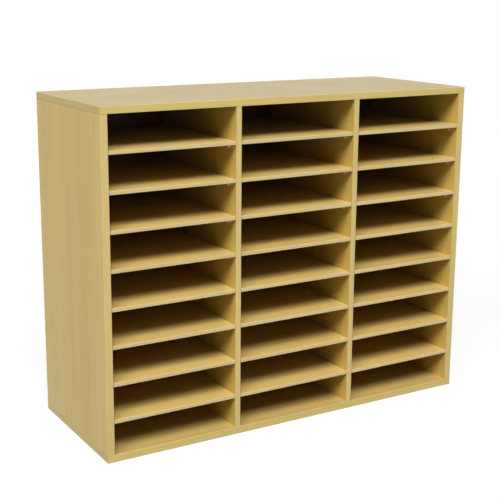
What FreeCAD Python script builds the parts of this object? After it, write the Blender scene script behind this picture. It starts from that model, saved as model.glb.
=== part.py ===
import FreeCAD, Part
import os
from FreeCAD import Vector

# A free-standing literature organizer of laminated board: a top, a bottom, two sides, two dividers and
# a thin back, with loose shelves on pins that make three columns of nine low compartments.
# Millimetres. The origin is the middle of the footprint, on the floor. +X is to the right as seen
# from the front, +Y runs from the front to the back, and +Z is up.

# The carcase
overall_width = 800.0
overall_depth = 300.0
overall_height = 639.0
top_thickness = 13.0
bottom_thickness = 14.0
side_thickness = 14.0
divider_thickness = 11.0
column_names = ("left", "middle", "right")

# The thin bands on the edges of the boards
band_thickness = 1.0
arris_radius = 0.8

# The shelves
shelves_per_column = 8
shelf_thickness = 7.0
lowest_space = 59.0
shelf_setback = 0.8
shelf_end_gap = 0.8
shelf_back_gap = 0.5

# The pins that carry the shelves
pin_stem_diameter = 5.0
pin_head_diameter = 8.0
pin_head_length = 8.0
pin_head_chamfer = 0.6
pin_front_inset = 22.0
pin_back_inset = 30.0
pin_web = 1.0
pin_seat_gap = 0.3

# The back panel and its nails
back_thickness = 3.0
back_inset = 3.0
back_lap = 6.0
back_play = 0.5
nail_diameter = 1.6
nail_head_diameter = 4.4
nail_head_thickness = 0.8
nail_bite = 13.0
nail_point = 2.5
nail_end_inset = 34.0
nails_per_upright = 5
nails_per_opening = 2

# The dowels that join the uprights to the top and the bottom
dowel_diameter = 6.0
dowel_bite = 16.0
dowel_cover = 4.0
dowel_inset = 40.0
dowels_per_joint = 3
dowel_chamfer = 0.8

# The screws that come up through the bottom into the uprights
screw_diameter = 4.0
screw_head_diameter = 8.0
screw_head_height = 2.4
screw_sink = 0.3
screw_bite = 26.0
screw_point = 5.0
screw_inset = 90.0
screw_recess_width = 1.1
screw_recess_length = 4.4
screw_recess_depth = 1.6

# Clearances of round pieces in their holes
hole_play = 0.1
end_play = 0.4

# Planes and spaces that follow from the sizes above
left_x = -overall_width / 2
front_y = -overall_depth / 2
rear_y = overall_depth / 2
core_front_y = front_y + band_thickness
back_front_y = rear_y - back_inset - back_thickness
back_rear_y = rear_y - back_inset
floor_z = bottom_thickness
ceiling_z = overall_height - top_thickness
columns = len(column_names)
inner_width = overall_width - 2 * side_thickness
opening_width = (inner_width - (columns - 1) * divider_thickness) / columns
upper_space = (ceiling_z - floor_z - lowest_space) / shelves_per_column - shelf_thickness
shelf_pitch = upper_space + shelf_thickness
pin_hole_depth = (divider_thickness - pin_web) / 2

X = Vector(1, 0, 0)
Y = Vector(0, 1, 0)
Z = Vector(0, 0, 1)


def block(x0, x1, y0, y1, z0, z1):
    """A box from its lowest to its highest corner."""
    return Part.makeBox(x1 - x0, y1 - y0, z1 - z0, Vector(x0, y0, z0))


def hole(radius, depth, mouth, direction):
    """The round space of a blind hole that goes in at mouth along direction."""
    return Part.makeCylinder(radius, depth, mouth, direction)


def spaced(first, last, count):
    """Evenly spaced places from first to last."""
    if count == 1:
        return [(first + last) / 2]
    return [first + (last - first) * i / (count - 1) for i in range(count)]


def turned(profile, place, direction):
    """A piece turned from a profile of (distance along the axis, radius) points."""
    points = [Vector(radius, 0, along) for along, radius in profile]
    face = Part.Face(Part.makePolygon(points + [points[0]]))
    piece = face.revolve(Vector(0, 0, 0), Z, 360)
    solid = Part.makeSolid(piece) if piece.ShapeType == "Shell" else piece
    turn = FreeCAD.Rotation(Z, direction)
    solid.Placement = FreeCAD.Placement(place, turn)
    return solid


def round_arrises(band, outward, along):
    """Round the two long edges of a band that lie on its outer face."""
    outer = max(vertex.Point.dot(outward) for vertex in band.Vertexes)
    edges = []
    for edge in band.Edges:
        ends = [vertex.Point for vertex in edge.Vertexes]
        on_face = all(abs(point.dot(outward) - outer) < 1e-6 for point in ends)
        if on_face and abs((ends[1] - ends[0]).normalize().dot(along)) > 0.99:
            edges.append(edge)
    return band.makeFillet(min(arris_radius, 0.9 * band_thickness), edges)


def front_band(x0, x1, z0, z1, face_y, along):
    """A band on a front edge, with its outer face at face_y."""
    band = block(x0, x1, face_y, face_y + band_thickness, z0, z1)
    return round_arrises(band, -Y, along)


def divider_left_x(number):
    """The left face of a divider, which are numbered from the left, from 1."""
    return left_x + side_thickness + number * opening_width + (number - 1) * divider_thickness


def column_left_x(column):
    """The left wall's face in a column, which are numbered from the left, from 0."""
    return left_x + side_thickness + column * (opening_width + divider_thickness)


def shelf_under_z(number):
    """The underside of a shelf, which are numbered from the bottom, from 1."""
    return floor_z + lowest_space + (number - 1) * shelf_pitch


def uprights():
    """Name, left face and thickness of each upright, from left to right."""
    listed = [("left_side", left_x, side_thickness)]
    for number, name in enumerate(("left_divider", "right_divider"), 1):
        listed.append((name, divider_left_x(number), divider_thickness))
    listed.append(("right_side", -left_x - side_thickness, side_thickness))
    return listed


def upright_middles():
    """The middle plane of each upright."""
    return [x0 + thickness / 2 for _, x0, thickness in uprights()]


def back_pocket():
    """The space behind the back panel's front face, sunk into the boards all round."""
    half = inner_width / 2 + back_lap
    return block(-half, half, back_front_y, rear_y, floor_z - back_lap, ceiling_z + back_lap)


# The shelf pins

def pin_places(column, side):
    """Where each pin of one wall meets the wall: side is -1 for the left wall and 1 for the right."""
    wall_x = column_left_x(column) + (opening_width if side > 0 else 0)
    places = []
    for number in range(1, shelves_per_column + 1):
        z = shelf_under_z(number) - pin_seat_gap - pin_head_diameter / 2
        places.append(Vector(wall_x, front_y + pin_front_inset, z))
        places.append(Vector(wall_x, back_front_y - pin_back_inset, z))
    return places


def pin(place, side):
    """A stepped pin: its stem fills the hole and its head stands out of the wall under the shelf."""
    stem = pin_stem_diameter / 2
    head = pin_head_diameter / 2
    profile = [(end_play - pin_hole_depth, 0), (end_play - pin_hole_depth, stem), (0, stem), (0, head),
               (pin_head_length - pin_head_chamfer, head), (pin_head_length, head - pin_head_chamfer),
               (pin_head_length, 0)]
    return turned(profile, place, X * -side)


def pin_holes(column, side):
    """The holes for the pins of one wall."""
    radius = pin_stem_diameter / 2 + hole_play
    return [hole(radius, pin_hole_depth, place, X * side) for place in pin_places(column, side)]


# The dowels and the screws that hold the uprights

def dowel_depths():
    """The places of the dowels of one joint, from front to back."""
    return spaced(core_front_y + dowel_inset, back_front_y - dowel_inset, dowels_per_joint)


def dowel_holes(joint_z, depth, direction):
    """One board's holes for all the dowels at one joint plane."""
    radius = dowel_diameter / 2 + hole_play
    return [hole(radius, depth, Vector(x, y, joint_z), direction)
            for x in upright_middles() for y in dowel_depths()]


def dowels(board_end_z, upright_end_z):
    """A row of dowels at each upright, from the hole's end in the board to its end in the upright."""
    low = min(board_end_z, upright_end_z) + end_play
    length = abs(upright_end_z - board_end_z) - 2 * end_play
    radius = dowel_diameter / 2
    tip = radius - dowel_chamfer
    profile = [(0, 0), (0, tip), (dowel_chamfer, radius), (length - dowel_chamfer, radius),
               (length, tip), (length, 0)]
    return Part.makeCompound([turned(profile, Vector(x, y, low), Z)
                              for x in upright_middles() for y in dowel_depths()])


def screw_places():
    """The middle of each screw's head on the underside."""
    return [Vector(x, y, 0) for x in upright_middles()
            for y in (front_y + screw_inset, rear_y - screw_inset)]


def screw(place):
    """A countersunk screw with a cross recess, its head just inside the underside."""
    head = screw_head_diameter / 2
    shank = screw_diameter / 2
    tip_z = bottom_thickness + screw_bite
    profile = [(screw_sink, 0), (screw_sink, head), (screw_sink + screw_head_height, shank),
               (tip_z - screw_point, shank), (tip_z, 0)]
    body = turned(profile, place, Z)
    half = screw_recess_length / 2
    slot = screw_recess_width / 2
    recess_top = screw_sink + screw_recess_depth
    bars = [block(-half, half, -slot, slot, 0, recess_top), block(-slot, slot, -half, half, 0, recess_top)]
    for bar in bars:
        bar.translate(place)
    return body.cut(bars)


def screw_holes(start_z, end_z):
    """The holes for the screws, wide enough for the countersunk heads where they start at the floor."""
    shank = screw_diameter / 2 + hole_play
    holes = [hole(shank, end_z - start_z, place + Z * start_z, Z) for place in screw_places()]
    if start_z > 0:
        return holes
    head = screw_head_diameter / 2 + hole_play
    cone_top = screw_sink + screw_head_height
    profile = [(0, 0), (0, head), (screw_sink, head), (cone_top, shank), (cone_top, 0)]
    return holes + [turned(profile, place, Z) for place in screw_places()]


# The nails that hold the back panel

def nail_places():
    """Where each nail goes through the back panel's rear face."""
    low_z = floor_z - back_lap / 2
    high_z = ceiling_z + back_lap / 2
    side_x = inner_width / 2 + back_lap / 2
    lines = [-side_x, side_x] + upright_middles()[1:-1]
    heights = spaced(floor_z + nail_end_inset, ceiling_z - nail_end_inset, nails_per_upright)
    places = [Vector(x, back_rear_y, z) for x in lines for z in heights]
    for column in range(columns):
        x0 = column_left_x(column)
        across = spaced(x0 + nail_end_inset, x0 + opening_width - nail_end_inset, nails_per_opening)
        places += [Vector(x, back_rear_y, z) for x in across for z in (low_z, high_z)]
    return places


def nail(place):
    """A flat-headed nail, its head on the back panel's rear face."""
    shank = nail_diameter / 2
    head = nail_head_diameter / 2
    tip = back_thickness + nail_bite
    profile = [(-nail_head_thickness, 0), (-nail_head_thickness, head), (0, head), (0, shank),
               (tip - nail_point, shank), (tip, 0)]
    return turned(profile, place, -Y)


def nail_holes():
    """The holes for the nails through the back panel and into the boards in front of it."""
    radius = nail_diameter / 2 + hole_play
    depth = back_thickness + nail_bite + end_play
    return [hole(radius, depth, place, -Y) for place in nail_places()]


# The boards

def level_board(z0, z1, joint_z, dowel_depth, dowel_direction):
    """The top or the bottom, without its bands, with its dowel holes and the back panel's pocket."""
    board = block(left_x + band_thickness, -left_x - band_thickness, core_front_y, rear_y, z0, z1)
    return board.cut([back_pocket()] + dowel_holes(joint_z, dowel_depth, dowel_direction) + nail_holes())


def top_panel():
    return level_board(ceiling_z, overall_height, ceiling_z, top_thickness - dowel_cover, Z)


def bottom_panel():
    board = level_board(0, floor_z, floor_z, bottom_thickness - dowel_cover, -Z)
    return board.cut(screw_holes(0, floor_z))


def level_edging(z0, z1):
    """The front band and the two end bands of the top or the bottom."""
    pieces = [front_band(left_x, -left_x, z0, z1, front_y, X)]
    for x0, outward in ((left_x, -X), (-left_x - band_thickness, X)):
        end = block(x0, x0 + band_thickness, core_front_y, rear_y, z0, z1)
        pieces.append(round_arrises(end, outward, Y))
    return Part.makeCompound(pieces)


def upright(position):
    """One side or divider, without its band, with the holes for its pins, dowels, screws and nails."""
    _, x0, thickness = uprights()[position]
    board = block(x0, x0 + thickness, core_front_y, rear_y, floor_z, ceiling_z)
    cuts = [back_pocket()] + nail_holes()
    cuts += dowel_holes(floor_z, dowel_bite, Z) + dowel_holes(ceiling_z, dowel_bite, -Z)
    cuts += screw_holes(floor_z, floor_z + screw_bite + end_play)
    if position > 0:
        cuts += pin_holes(position - 1, 1)
    if position < columns:
        cuts += pin_holes(position, -1)
    return board.cut(cuts)


def upright_edging(position):
    """The front band of one side or divider."""
    _, x0, thickness = uprights()[position]
    return front_band(x0, x0 + thickness, floor_z, ceiling_z, front_y, Z)


def back_panel():
    """The thin panel that closes the back, a little smaller than its pocket."""
    half = inner_width / 2 + back_lap - back_play
    low_z = floor_z - back_lap + back_play
    high_z = ceiling_z + back_lap - back_play
    return block(-half, half, back_front_y, back_rear_y, low_z, high_z).cut(nail_holes())


def shelf(column, number):
    """A loose shelf and the band on its front edge."""
    x0 = column_left_x(column) + shelf_end_gap
    x1 = column_left_x(column) + opening_width - shelf_end_gap
    z0 = shelf_under_z(number)
    z1 = z0 + shelf_thickness
    shelf_front_y = front_y + shelf_setback
    board = block(x0, x1, shelf_front_y + band_thickness, back_front_y - shelf_back_gap, z0, z1)
    return Part.makeCompound([board, front_band(x0, x1, z0, z1, shelf_front_y, X)])


def save(name, shape):
    """Write one node, after a test that each of its solids is sound."""
    for solid in shape.Solids:
        assert solid.isValid() and solid.Volume > 0, name
    shape.exportStep("parts/" + name + ".step")
    print(name, len(shape.Solids), "solids", round(shape.Volume), "mm3")


def main():
    os.makedirs("parts", exist_ok=True)
    save("top_panel", top_panel())
    save("bottom_panel", bottom_panel())
    save("top_panel_edging", level_edging(ceiling_z, overall_height))
    save("bottom_panel_edging", level_edging(0, floor_z))
    for position, (name, _, _) in enumerate(uprights()):
        board_name = name if "divider" in name else name + "_panel"
        save(board_name, upright(position))
        save(name + "_edging", upright_edging(position))
    save("back_panel", back_panel())
    save("back_nails", Part.makeCompound([nail(place) for place in nail_places()]))
    save("top_dowels", dowels(overall_height - dowel_cover, ceiling_z - dowel_bite))
    save("bottom_dowels", dowels(dowel_cover, floor_z + dowel_bite))
    save("base_screws", Part.makeCompound([screw(place) for place in screw_places()]))
    for column, column_name in enumerate(column_names):
        for side, side_name in ((-1, "left"), (1, "right")):
            pins = [pin(place, side) for place in pin_places(column, side)]
            save("pins_" + column_name + "_column_" + side_name, Part.makeCompound(pins))
        for number in range(1, shelves_per_column + 1):
            save("shelf_" + column_name + "_" + str(number), shelf(column, number))


main()
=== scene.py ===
import math
import bpy
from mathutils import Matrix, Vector


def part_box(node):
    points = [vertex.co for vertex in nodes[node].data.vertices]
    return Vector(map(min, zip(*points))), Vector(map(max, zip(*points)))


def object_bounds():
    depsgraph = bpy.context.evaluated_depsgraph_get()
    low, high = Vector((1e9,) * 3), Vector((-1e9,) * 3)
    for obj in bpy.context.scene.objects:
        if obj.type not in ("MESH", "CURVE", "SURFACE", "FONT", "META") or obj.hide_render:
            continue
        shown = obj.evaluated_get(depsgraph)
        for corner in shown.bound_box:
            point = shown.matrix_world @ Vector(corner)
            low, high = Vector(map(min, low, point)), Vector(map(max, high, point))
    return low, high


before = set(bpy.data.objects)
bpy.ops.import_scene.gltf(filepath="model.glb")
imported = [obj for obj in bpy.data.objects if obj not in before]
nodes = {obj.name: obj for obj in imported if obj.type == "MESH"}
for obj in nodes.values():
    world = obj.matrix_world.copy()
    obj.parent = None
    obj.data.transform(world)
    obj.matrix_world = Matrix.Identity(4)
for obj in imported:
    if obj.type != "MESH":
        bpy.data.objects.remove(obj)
cad_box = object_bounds()

# A literature organizer of beech-pattern laminate on particle board, with edge bands, a brown
# hardboard back and loose shelves on nickel pins. Every shape is the frame's own, and this script
# gives it its finish. Sizes and places are in metres. X runs to the right as seen from the front,
# Y from the front to the back, and Z up.
low_corner, high_corner = cad_box


def size_of(node):
    """A node's size along X, Y and Z."""
    low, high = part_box(node)
    return high - low


X_AXIS, Y_AXIS, Z_AXIS = range(3)
band_thickness = size_of("left_divider_edging")[Y_AXIS]
front_joint_y = low_corner.y + band_thickness
end_joint_x = high_corner.x - band_thickness
first_shelf = min(name for name in nodes if name.startswith("shelf_"))
shelf_joint_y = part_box(first_shelf)[0].y + band_thickness

# Colours, as sRGB parts of 1. A pair is the pale and the deep tone of one figure.
UPRIGHT_FILM = ((0.772, 0.665, 0.343), (0.719, 0.607, 0.300))
SHELF_FILM = ((0.800, 0.692, 0.418), (0.747, 0.630, 0.367))
# The bottom board's film is the shelf film made darker: painted shade on the floor of the bottom row.
BOTTOM_FILM_PAINTED_SHADE = ((0.747, 0.644, 0.385), (0.697, 0.586, 0.338))
# The top board's film is made darker and greyer: painted shade on the top, which is seen at a grazing
# angle.
TOP_FILM_PAINTED_SHADE = ((0.630, 0.560, 0.370), (0.584, 0.512, 0.330))
UPRIGHT_BAND = ((0.788, 0.700, 0.452), (0.747, 0.657, 0.410))
LEVEL_BAND = ((0.774, 0.690, 0.418), (0.734, 0.648, 0.378))
# The band on the board ends is the level band made darker: painted shade.
END_BAND_PAINTED_SHADE = ((0.723, 0.632, 0.352), (0.686, 0.592, 0.318))
SHELF_BAND = ((0.792, 0.708, 0.505), (0.752, 0.666, 0.465))
BEECH = ((0.80, 0.66, 0.47), (0.70, 0.54, 0.35))
NICKEL = ((0.86, 0.77, 0.59), (0.78, 0.68, 0.50))
ZINC = ((0.78, 0.78, 0.76), (0.64, 0.65, 0.66))
WOOD_FLECK = (0.560, 0.415, 0.215)
BAND_JOINT = (0.42, 0.32, 0.18)
CHIP_PALE = (0.80, 0.70, 0.53)
CHIP_MIDDLE = (0.66, 0.53, 0.36)
CHIP_DARK = (0.38, 0.27, 0.16)
HARDBOARD_DEEP = (0.300, 0.200, 0.125)
HARDBOARD_PALE = (0.400, 0.285, 0.185)
SCREEN_SIDE = (0.450, 0.335, 0.225)

# Depths and widths of fine surface features
FILM_DEPTH = 0.0003
GRAIN_DEPTH = 0.00003
CHIP_DEPTH = 0.00025
SCREEN_PITCH = 0.0014
SCREEN_DEPTH = 0.00015
JOINT_WIDTH = 0.0002

# Drawn-out noise, in cells to the metre along the grain and across it
FILM_FIGURE = (0.8, 22)
FILM_RINGS = (1.8, 95)
FILM_FIBRES = (14, 800)
FILM_PORES = (260, 2300)
BAND_FIGURE = (1.5, 60)
BAND_FIBRES = (9, 420)
BEECH_FIBRES = (60, 1500)
BEECH_PORES = (500, 2500)
TURNING_MARKS = (5000, 300)

# Even noise and chips, in cells to the metre
FILM_SMUDGES = 7
CHIPS = 520
CHIP_SPECKS = 900
HARDBOARD_FIBRES = 260
HARDBOARD_CLOUDS = 9
PLATING_CLOUDS = 450

# How much each noise adds to a tone
FILM_SHARES = (0.50, 0.30, 0.20)
BAND_SHARES = (0.6, 0.4)
HARDBOARD_SHARES = (0.6, 0.4)
SCREEN_SHARES = (1.0, 0.12)

# The stretch of noise over which a tone goes from none to full
FILM_TONES = (0.36, 0.64)
FILM_FLECKS = (0.64, 0.76)
BAND_TONES = (0.38, 0.62)
CHIP_TONES = (0.25, 0.85)
SPECK_TONES = (0.58, 0.70)
HARDBOARD_TONES = (0.38, 0.62)
SCREEN_TONES = (0.3, 0.7)
BEECH_TONES = (0.35, 0.65)
BEECH_FLECKS = (0.62, 0.72)
CLOUD_TONES = (0.35, 0.65)
GLOSS_TONES = (0.3, 0.7)

# How strongly flecks and relief show, from 0 to 1
FILM_FLECK_STRENGTH = 0.35
BEECH_FLECK_STRENGTH = 0.4
FILM_RELIEF = 0.5
HARDBOARD_RELIEF = 0.6
BEECH_RELIEF = 0.8
PLATING_RELIEF = 0.4

# The back panel is rough from this share of its thickness on
ROUGH_SIDE_FROM = 0.6

# Roughness of each finish: 0 is a mirror and 1 is matt
FILM_ROUGHNESS = 0.38
TOP_ROUGHNESS = 0.44
SMUDGE_ROUGHNESS = (-0.03, 0.04)
BAND_ROUGHNESS = 0.40
BARE_ROUGHNESS = 0.85
HARDBOARD_ROUGHNESS = (0.42, 0.52)
SCREEN_ROUGHNESS = 0.8
BEECH_ROUGHNESS = (0.55, 0.70)
NICKEL_ROUGHNESS = (0.41, 0.55)
ZINC_ROUGHNESS = (0.36, 0.50)

# Refractive indices: the film and the bands, and the hardboard
FILM_IOR = 1.50
HARDBOARD_IOR = 1.45

# Where in the figure each column's shelves were cut from
SHELF_OFFSETS = {"left": (0, 0, 0), "middle": (3.7, 1.9, 0), "right": (8.3, 5.1, 0)}

# The camera, at the photograph's viewing angle. Turns are in degrees, and shifts in frame widths.
CAMERA_LENS = 76.683
CAMERA_SENSOR_WIDTH = 36.0
CAMERA_SHIFT = (0.0197, -0.0286)
CAMERA_PLACE = (-1.0982, -1.7884, 0.8307)
CAMERA_TURNS = (76.938, -0.291, -30.574)

# The lamps: two soft lamps in front, above and to the left, and a low one behind. Powers are in watts.
FRONT_DIRECTION = (-0.30, -0.75, 1.00)
FRONT_POWER = 1500
SIDE_DIRECTION = (-0.85, -0.48, 0.85)
SIDE_POWER = 950
REAR_DIRECTION = (0.80, 0.75, 0.12)
REAR_POWER = 1250
REAR_SIZE = 2.4
LAMP_DISTANCE = 12.0
LAMP_SIZE = 4.8

# The surroundings: white to the camera and in reflections, and a faint even fill on the object
FILL_LEVEL = 0.07
WHITE_LEVEL = 1.0

# The floor: the grey that lights the object, and the grey that is seen. The white glow in what is
# seen has a share of FLOOR_GLOW up to SHADOW_REACH from the middle, and is whole from FADE_REACH on.
FLOOR_GREY = 0.28
FLOOR_SEEN = 0.86
FLOOR_GLOW = 0.80
SHADOW_REACH = 0.8
FADE_REACH = 2.6
FLOOR_REACH = 40.0
FLOOR_DROP = 0.0002

# The sRGB curve
SRGB_TOE = 0.04045
SRGB_TOE_SLOPE = 12.92
SRGB_OFFSET = 0.055
SRGB_POWER = 2.4


def linear(part):
    """A linear part of light from an sRGB part of 1."""
    if part <= SRGB_TOE:
        return part / SRGB_TOE_SLOPE
    return ((part + SRGB_OFFSET) / (1 + SRGB_OFFSET)) ** SRGB_POWER


def colour(srgb):
    """An opaque linear colour from sRGB parts of 1."""
    return [linear(part) for part in srgb] + [1.0]


class Graph:
    """A short way to write the nodes of a material or of the world."""

    def __init__(self, owner, output="Material"):
        owner.use_nodes = True
        self.owner = owner
        self.tree = owner.node_tree
        self.tree.nodes.clear()
        self.output = self.node("Output" + output)

    def node(self, kind, inputs=None, **settings):
        """A new node of one kind, with its settings and what goes into its inputs."""
        made = self.tree.nodes.new("ShaderNode" + kind)
        for key, value in settings.items():
            setattr(made, key, value)
        for key, value in (inputs or {}).items():
            self.feed(made.inputs[key], value)
        return made

    def feed(self, socket, value):
        """Link a socket to another node's output, or give it a plain value."""
        if isinstance(value, bpy.types.NodeSocket):
            self.tree.links.new(value, socket)
        else:
            socket.default_value = value

    def show(self, shader):
        """Give a shader to the output."""
        self.tree.links.new(shader.outputs[0], self.output.inputs[0])

    def math(self, operation, a, b=0.0):
        """One sum on one or two numbers."""
        return self.node("Math", {0: a, 1: b}, operation=operation).outputs[0]

    def weighted(self, values, shares):
        """The sum of numbers, each times its share."""
        total = 0.0
        for value, share in zip(values, shares):
            added = self.node("Math", {0: value, 1: share, 2: total}, operation="MULTIPLY_ADD")
            total = added.outputs[0]
        return total

    def mix(self, share, a, b):
        """Colour a where share is 0, and colour b where it is 1."""
        made = self.node("Mix", data_type="RGBA")
        colour_sockets = [socket for socket in made.inputs if socket.type == "RGBA"]
        self.feed(made.inputs[0], share)
        self.feed(colour_sockets[0], a)
        self.feed(colour_sockets[1], b)
        return next(socket for socket in made.outputs if socket.type == "RGBA")

    def mix_number(self, share, a, b):
        """Number a where share is 0, and number b where it is 1."""
        made = self.node("Mix", {0: share, 2: a, 3: b}, data_type="FLOAT")
        return made.outputs[0]

    def parts(self, vector):
        """The X, Y and Z parts of a vector."""
        return self.node("SeparateXYZ", {"Vector": vector}).outputs

    def point(self):
        """The place on the object, in metres."""
        return self.node("TexCoord").outputs["Object"]

    def share_of_box(self, axis):
        """How far through the node's own box a place is along one axis, from 0 to 1."""
        return self.parts(self.node("TexCoord").outputs["Generated"])[axis]

    def noise(self, cells, detail=2.0, roughness=0.5, distortion=0.0, offset=(0, 0, 0)):
        """Noise with its own number of cells to the metre along each axis."""
        place = self.node("Mapping", {"Vector": self.point(), "Location": offset, "Scale": cells})
        made = self.node("TexNoise", {"Vector": place.outputs[0], "Scale": 1.0, "Detail": detail,
                                      "Roughness": roughness, "Distortion": distortion})
        return made.outputs["Fac"]

    def clouds(self, cells, **settings):
        """Noise that is alike along every axis."""
        return self.noise((cells, cells, cells), **settings)

    def grain(self, along, cells, **settings):
        """Noise drawn out along one axis, from a pair of cells along the grain and across it."""
        lengthwise, across = cells
        scale = [across] * 3
        scale[along] = lengthwise
        return self.noise(scale, **settings)

    def remap(self, value, source, target=(0.0, 1.0)):
        """A number carried over from one range to another, and held at its ends."""
        return self.node("MapRange", {"Value": value, "From Min": source[0], "From Max": source[1],
                                      "To Min": target[0], "To Max": target[1]}).outputs[0]

    def bump(self, height, distance, strength=1.0, normal=None):
        """A surface direction from a height map, on top of another one if it is given."""
        inputs = {"Height": height, "Distance": distance, "Strength": strength}
        if normal is not None:
            inputs["Normal"] = normal
        return self.node("Bump", inputs).outputs[0]

    def finish(self, **inputs):
        """End with the one surface shader, and give back the material.

        A _ in an input's name stands for a space."""
        sockets = {key.replace("_", " "): value for key, value in inputs.items()}
        self.show(self.node("BsdfPrincipled", sockets))
        return self.owner


def new_graph(name):
    """The empty graph of a new material."""
    return Graph(bpy.data.materials.new(name))


# The laminate, its particle-board core and the edge bands

def film_grain(graph, along, offset):
    """The printed wood figure: tone from 0, pale, to 1, deep; small dark flecks; and its fibres."""
    figure = graph.grain(along, FILM_FIGURE, detail=2.0, roughness=0.45, distortion=0.3, offset=offset)
    rings = graph.grain(along, FILM_RINGS, detail=2.0, offset=offset)
    fibres = graph.grain(along, FILM_FIBRES, detail=3.0, roughness=0.6, offset=offset)
    pores = graph.grain(along, FILM_PORES, detail=1.0, offset=offset)
    tone = graph.remap(graph.weighted((figure, rings, fibres), FILM_SHARES), FILM_TONES)
    return tone, graph.remap(pores, FILM_FLECKS), fibres


def particle_board(graph):
    """Colour and height of the bare core, pressed from chips of wood."""
    chips = graph.node("TexVoronoi", {"Vector": graph.point(), "Scale": CHIPS, "Randomness": 1.0})
    kind = graph.parts(chips.outputs["Color"])[0]
    base = graph.mix(graph.remap(kind, CHIP_TONES), colour(CHIP_MIDDLE), colour(CHIP_PALE))
    specks = graph.clouds(CHIP_SPECKS, detail=2.0)
    base = graph.mix(graph.remap(specks, SPECK_TONES), base, colour(CHIP_DARK))
    return base, graph.math("SUBTRACT", kind, chips.outputs["Distance"])


def bare_share(graph, thick_axis, thickness, open_edge):
    """1 where a face lies deeper in the board than the film and no band covers it, and 0 elsewhere."""
    through = graph.math("MULTIPLY", graph.share_of_box(thick_axis), thickness)
    depth = graph.math("MINIMUM", through, graph.math("SUBTRACT", thickness, through))
    return graph.math("MULTIPLY", graph.math("GREATER_THAN", depth, FILM_DEPTH), open_edge)


def laminate(graph, along, thick_axis, thickness, film, roughness, offset=(0, 0, 0), open_edge=1.0):
    """Colour, roughness and normal of a board: film on the two broad faces, and bare core on the others.

    open_edge is 0 where a band covers the core."""
    tone, flecks, fibres = film_grain(graph, along, offset)
    pale, deep = film
    film_base = graph.mix(tone, colour(pale), colour(deep))
    fleck_share = graph.math("MULTIPLY", flecks, FILM_FLECK_STRENGTH)
    film_base = graph.mix(fleck_share, film_base, colour(WOOD_FLECK))
    core_base, core_height = particle_board(graph)
    bare = bare_share(graph, thick_axis, thickness, open_edge)
    smudges = graph.clouds(FILM_SMUDGES, detail=3.0)
    film_roughness = graph.remap(smudges, CLOUD_TONES, [roughness + step for step in SMUDGE_ROUGHNESS])
    film_normal = graph.bump(fibres, GRAIN_DEPTH, FILM_RELIEF)
    normal = graph.bump(core_height, graph.math("MULTIPLY", bare, CHIP_DEPTH), normal=film_normal)
    return (graph.mix(bare, film_base, core_base),
            graph.mix_number(bare, film_roughness, BARE_ROUGHNESS), normal)


def board_finish(node, along, thick_axis, film, roughness=FILM_ROUGHNESS):
    """The laminate of one fixed board."""
    graph = new_graph("laminate_" + node)
    thickness = size_of(node)[thick_axis]
    base, rough, normal = laminate(graph, along, thick_axis, thickness, film, roughness)
    return graph.finish(Base_Color=base, Roughness=rough, Normal=normal, IOR=FILM_IOR)


def band_figure(graph, along, band):
    """The edge band's plainer figure and its fibres."""
    fibres = graph.grain(along, BAND_FIBRES, detail=3.0, roughness=0.55)
    figure = graph.grain(along, BAND_FIGURE, detail=1.0)
    tone = graph.weighted((fibres, figure), BAND_SHARES)
    pale, deep = band
    return graph.mix(graph.remap(tone, BAND_TONES), colour(pale), colour(deep)), fibres


def upright_edge_band(name):
    """The bands of the uprights: grain along Z, and a thin dark joint where they meet the boards."""
    graph = new_graph(name)
    base, fibres = band_figure(graph, Z_AXIS, UPRIGHT_BAND)
    y = graph.parts(graph.point())[Y_AXIS]
    joint = graph.math("MULTIPLY", graph.math("GREATER_THAN", y, front_joint_y - JOINT_WIDTH),
                       graph.math("LESS_THAN", y, front_joint_y))
    return graph.finish(Base_Color=graph.mix(joint, base, colour(BAND_JOINT)), Roughness=BAND_ROUGHNESS,
                        IOR=FILM_IOR, Normal=graph.bump(fibres, GRAIN_DEPTH, FILM_RELIEF))


def level_edge_band(name):
    """The bands of the top and the bottom: grain along X in front, and along Y on the ends, which take a
    darker copy of the band's colour as painted shade.
    """
    graph = new_graph(name)
    front, front_fibres = band_figure(graph, X_AXIS, LEVEL_BAND)
    # The ends take the band's colour made darker, as painted shade.
    end, end_fibres = band_figure(graph, Y_AXIS, END_BAND_PAINTED_SHADE)
    x, y, _ = graph.parts(graph.point())
    behind_front = graph.math("GREATER_THAN", y, front_joint_y)
    near_end = graph.math("GREATER_THAN", graph.math("ABSOLUTE", x), end_joint_x - JOINT_WIDTH)
    on_end = graph.math("MULTIPLY", behind_front, near_end)
    fibres = graph.mix_number(on_end, front_fibres, end_fibres)
    return graph.finish(Base_Color=graph.mix(on_end, front, end), Roughness=BAND_ROUGHNESS, IOR=FILM_IOR,
                        Normal=graph.bump(fibres, GRAIN_DEPTH, FILM_RELIEF))


def shelf_finish(name, offset):
    """A shelf: laminate with its own stretch of figure, and a paler band on its front edge."""
    graph = new_graph(name)
    thickness = size_of(first_shelf)[Z_AXIS]
    y = graph.parts(graph.point())[Y_AXIS]
    behind_band = graph.math("GREATER_THAN", y, shelf_joint_y)
    base, rough, normal = laminate(graph, X_AXIS, Z_AXIS, thickness, SHELF_FILM, FILM_ROUGHNESS,
                                   offset, behind_band)
    band, _ = band_figure(graph, X_AXIS, SHELF_BAND)
    return graph.finish(Base_Color=graph.mix(behind_band, band, base), Normal=normal, IOR=FILM_IOR,
                        Roughness=graph.mix_number(behind_band, BAND_ROUGHNESS, rough))


# The other materials

def screen_print(graph):
    """The crossed waves that the press's wire screen leaves, from -1 to 1."""
    x, _, z = graph.parts(graph.point())
    turns = 2 * math.pi / SCREEN_PITCH
    across = graph.math("SINE", graph.math("MULTIPLY", x, turns))
    up = graph.math("SINE", graph.math("MULTIPLY", z, turns))
    return graph.math("MULTIPLY", across, up)


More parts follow.
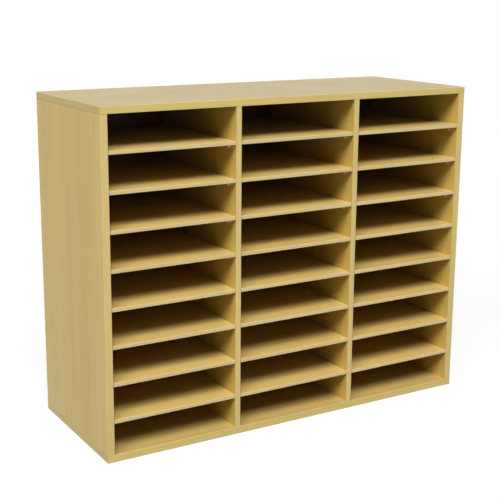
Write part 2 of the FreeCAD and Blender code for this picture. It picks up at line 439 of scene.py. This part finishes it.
def hardboard():
    """Smooth in front, and printed by the press's wire screen behind."""
    graph = new_graph("brown_hardboard")
    fibres = graph.clouds(HARDBOARD_FIBRES, detail=4.0, roughness=0.65)
    clouds = graph.clouds(HARDBOARD_CLOUDS, detail=2.0)
    tone = graph.remap(graph.weighted((fibres, clouds), HARDBOARD_SHARES), HARDBOARD_TONES)
    smooth = graph.mix(tone, colour(HARDBOARD_DEEP), colour(HARDBOARD_PALE))
    screen = screen_print(graph)
    screen_tone = graph.remap(graph.weighted((fibres, screen), SCREEN_SHARES), SCREEN_TONES)
    screened = graph.mix(screen_tone, colour(HARDBOARD_PALE), colour(SCREEN_SIDE))
    behind = graph.math("GREATER_THAN", graph.share_of_box(Y_AXIS), ROUGH_SIDE_FROM)
    screen_normal = graph.bump(screen, graph.math("MULTIPLY", behind, SCREEN_DEPTH))
    smooth_roughness = graph.remap(clouds, CLOUD_TONES, HARDBOARD_ROUGHNESS)
    return graph.finish(Base_Color=graph.mix(behind, smooth, screened), IOR=HARDBOARD_IOR,
                        Normal=graph.bump(fibres, GRAIN_DEPTH, HARDBOARD_RELIEF, screen_normal),
                        Roughness=graph.mix_number(behind, smooth_roughness, SCREEN_ROUGHNESS))


def bare_beech():
    """Turned dowels, with their grain along Z."""
    graph = new_graph("bare_beech")
    fibres = graph.grain(Z_AXIS, BEECH_FIBRES, detail=3.0, roughness=0.6)
    pores = graph.grain(Z_AXIS, BEECH_PORES, detail=1.0)
    pale, deep = BEECH
    base = graph.mix(graph.remap(fibres, BEECH_TONES), colour(pale), colour(deep))
    flecks = graph.math("MULTIPLY", graph.remap(pores, BEECH_FLECKS), BEECH_FLECK_STRENGTH)
    return graph.finish(Base_Color=graph.mix(flecks, base, colour(WOOD_FLECK)),
                        Roughness=graph.remap(fibres, GLOSS_TONES, BEECH_ROUGHNESS),
                        Normal=graph.bump(fibres, GRAIN_DEPTH, BEECH_RELIEF))


def plated_metal(name, tones, along, roughness):
    """Plated steel with fine turning marks across its axis and slightly uneven plating."""
    graph = new_graph(name)
    marks = graph.grain(along, TURNING_MARKS, detail=2.0)
    clouds = graph.clouds(PLATING_CLOUDS, detail=3.0)
    pale, deep = tones
    base = graph.mix(graph.remap(clouds, CLOUD_TONES), colour(pale), colour(deep))
    return graph.finish(Base_Color=base, Metallic=1.0,
                        Roughness=graph.remap(clouds, GLOSS_TONES, roughness),
                        Normal=graph.bump(marks, GRAIN_DEPTH, PLATING_RELIEF))


# Which node has which finish

def board_finishes():
    """A finish for each fixed board: the figure runs along X in the level ones and up the uprights. The
    top and the bottom take darker copies of the film as painted shade.
    """
    # The top's darker film is painted shade.
    made = {"top_panel": board_finish("top_panel", X_AXIS, Z_AXIS, TOP_FILM_PAINTED_SHADE, TOP_ROUGHNESS),
            # The bottom's darker film is painted shade.
            "bottom_panel": board_finish("bottom_panel", X_AXIS, Z_AXIS, BOTTOM_FILM_PAINTED_SHADE)}
    for name in ("left_side_panel", "left_divider", "right_divider", "right_side_panel"):
        made[name] = board_finish(name, Z_AXIS, X_AXIS, UPRIGHT_FILM)
    return made


def column_of(shelf):
    """The column that a shelf is in."""
    return next(column for column in SHELF_OFFSETS if shelf.startswith("shelf_" + column))


board_materials = board_finishes()
shelf_materials = {column: shelf_finish("laminate_shelf_" + column, offset)
                   for column, offset in SHELF_OFFSETS.items()}
upright_band = upright_edge_band("edge_band_upright")
level_band = level_edge_band("edge_band_level")
brown_hardboard = hardboard()
beech = bare_beech()
nickel = plated_metal("nickel_plate", NICKEL, X_AXIS, NICKEL_ROUGHNESS)
zinc = plated_metal("zinc_plate", ZINC, Z_AXIS, ZINC_ROUGHNESS)


def finish_for(name):
    """The material of a node, by its name."""
    if name in board_materials:
        return board_materials[name]
    if name.startswith("shelf_"):
        return shelf_materials[column_of(name)]
    if name in ("top_panel_edging", "bottom_panel_edging"):
        return level_band
    if name.endswith("_edging"):
        return upright_band
    if name == "back_panel":
        return brown_hardboard
    if name.startswith("pins_"):
        return nickel
    if name.endswith("_dowels"):
        return beech
    return zinc


for node_name, piece in nodes.items():
    for slot in piece.material_slots:
        slot.material = finish_for(node_name)


# The camera, the lamps and the surroundings

def add_camera():
    """The camera, which sees the object as the photograph does."""
    camera = bpy.data.cameras.new("camera")
    camera.lens = CAMERA_LENS
    camera.sensor_width = CAMERA_SENSOR_WIDTH
    camera.shift_x, camera.shift_y = CAMERA_SHIFT
    camera_object = bpy.data.objects.new("camera", camera)
    camera_object.location = CAMERA_PLACE
    camera_object.rotation_euler = [math.radians(turn) for turn in CAMERA_TURNS]
    bpy.context.scene.collection.objects.link(camera_object)
    bpy.context.scene.camera = camera_object


def soft_lamp(name, direction, size, power):
    """A square soft lamp that shines on the middle of the object from one direction."""
    lamp = bpy.data.lights.new(name, "AREA")
    lamp.shape = "SQUARE"
    lamp.size = size
    lamp.energy = power
    lamp_object = bpy.data.objects.new(name, lamp)
    away = Vector(direction).normalized()
    lamp_object.location = Vector((0, 0, high_corner.z / 2)) + away * LAMP_DISTANCE
    lamp_object.rotation_euler = away.to_track_quat("Z", "Y").to_euler()
    bpy.context.scene.collection.objects.link(lamp_object)
    return lamp_object


def seen_directly(graph):
    """1 for a ray from the camera, off a glossy surface or through glass, and 0 otherwise."""
    path = graph.node("LightPath").outputs
    seen = graph.math("MAXIMUM", path["Is Camera Ray"], path["Is Glossy Ray"])
    return graph.math("MAXIMUM", seen, path["Is Transmission Ray"])


def surroundings():
    """A world that looks white and gives the object only a faint fill."""
    world = bpy.data.worlds.new("surroundings")
    bpy.context.scene.world = world
    graph = Graph(world, "World")
    strength = graph.remap(seen_directly(graph), (0.0, 1.0), (FILL_LEVEL, WHITE_LEVEL))
    graph.show(graph.node("Background", {"Color": (1, 1, 1, 1), "Strength": strength}))


def floor_finish():
    """Matt and pale, with a white glow that the camera sees grow away from the object."""
    graph = new_graph("pale_floor")
    seen = seen_directly(graph)
    grey = graph.mix_number(seen, FLOOR_GREY, FLOOR_SEEN)
    tint = graph.node("CombineColor", {0: grey, 1: grey, 2: grey}).outputs[0]
    matt = graph.node("BsdfDiffuse", {"Color": tint})
    glow = graph.node("Emission", {"Strength": WHITE_LEVEL})
    away = graph.node("VectorMath", {0: graph.point()}, operation="LENGTH").outputs["Value"]
    glow_share = graph.remap(away, (SHADOW_REACH, FADE_REACH), (FLOOR_GLOW, 1.0))
    graph.show(graph.node("MixShader", {0: graph.math("MULTIPLY", seen, glow_share),
                                        1: matt.outputs[0], 2: glow.outputs[0]}))
    return graph.owner


def floor():
    """A plain pale floor, which keeps the object's shadow."""
    mesh = bpy.data.meshes.new("floor")
    corners = [(x * FLOOR_REACH, y * FLOOR_REACH, 0) for x, y in ((-1, -1), (1, -1), (1, 1), (-1, 1))]
    mesh.from_pydata(corners, [], [(0, 1, 2, 3)])
    mesh.materials.append(floor_finish())
    floor_object = bpy.data.objects.new("floor", mesh)
    floor_object.location.z = low_corner.z - FLOOR_DROP
    bpy.context.scene.collection.objects.link(floor_object)


add_camera()
soft_lamp("front_lamp", FRONT_DIRECTION, LAMP_SIZE, FRONT_POWER)
soft_lamp("side_lamp", SIDE_DIRECTION, LAMP_SIZE, SIDE_POWER)
rear_lamp = soft_lamp("rear_lamp", REAR_DIRECTION, REAR_SIZE, REAR_POWER)
rear_lamp.visible_glossy = False
surroundings()
floor()

bpy.context.scene.view_settings.view_transform = "Standard"
